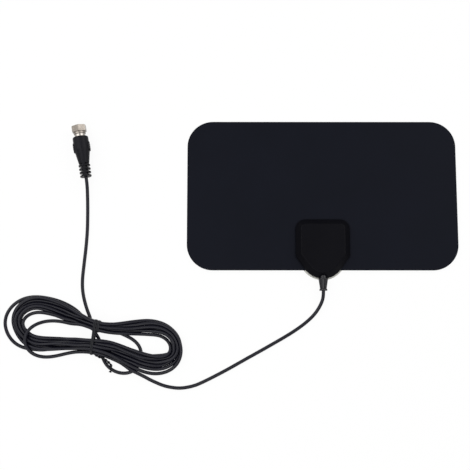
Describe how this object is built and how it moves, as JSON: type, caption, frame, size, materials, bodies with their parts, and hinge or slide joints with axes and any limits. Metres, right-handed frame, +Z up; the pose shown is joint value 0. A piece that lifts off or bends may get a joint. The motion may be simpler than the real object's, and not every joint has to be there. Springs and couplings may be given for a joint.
{
  "type": "flat tv antenna with coaxial lead",
  "caption": "Flat leaf television antenna: thin laminated sheet, clipped housing, bundled coaxial lead and screw-on plug.",
  "frame": {"origin": "under the middle of the sheet and its housing, on the surface that the antenna lies on", "axes": "+X along the sheet's long side, +Y from the housing's rounded end to the sheet's far edge, +Z up from the surface"},
  "size_m": [0.36, 0.2181, 0.0128],
  "materials": {
    "black_film": "fine matte grain",
    "white_film": "matte",
    "adhesive": "dull",
    "foil": "rolled",
    "black_shell": "satin",
    "white_shell": "satin",
    "board": "lacquered glass fibre",
    "ferrite": "fired ferrite",
    "copper": "bare copper",
    "chip": "fired ceramic",
    "tinned": "tinned",
    "insulator": "waxy",
    "lead_jacket": "soft satin",
    "tie": "dull",
    "grip": "moulded satin",
    "nickel": "plated"
  },
  "bodies": {
    "antenna": {"front_film": "black_film", "bond_layer": "adhesive", "foil_left": "foil", "foil_right": "foil", "back_film": "white_film", "pod_front": "black_shell", "pod_back": "white_shell", "circuit_board": "board", "balun_core": "ferrite", "balun_winding": "copper", "chip_capacitors": "chip", "contact_left": "tinned", "contact_right": "tinned", "coax_clamp": "tinned", "lead_braid": "tinned", "lead_dielectric": "insulator", "lead_core": "copper", "strain_relief": "lead_jacket", "cord_pod_side": "lead_jacket", "cord_hank": "lead_jacket", "cord_loop": "lead_jacket", "cord_plug_side": "lead_jacket", "twist_tie": "tie", "plug_grip": "grip", "connector_sleeve": "nickel", "connector_post": "nickel", "plug_dielectric": "insulator", "centre_pin": "copper"},
    "nut": {"coupling_nut": "nickel"}
  },
  "joints": [
    {"name": "coupling_nut_spin", "type": "hinge", "parent": "antenna", "child": "nut", "pos_m": [-0.19873, 0.05685, 0.0064], "axis": [-0.1633, 0.9866, 0], "continuous": true}
  ]
}
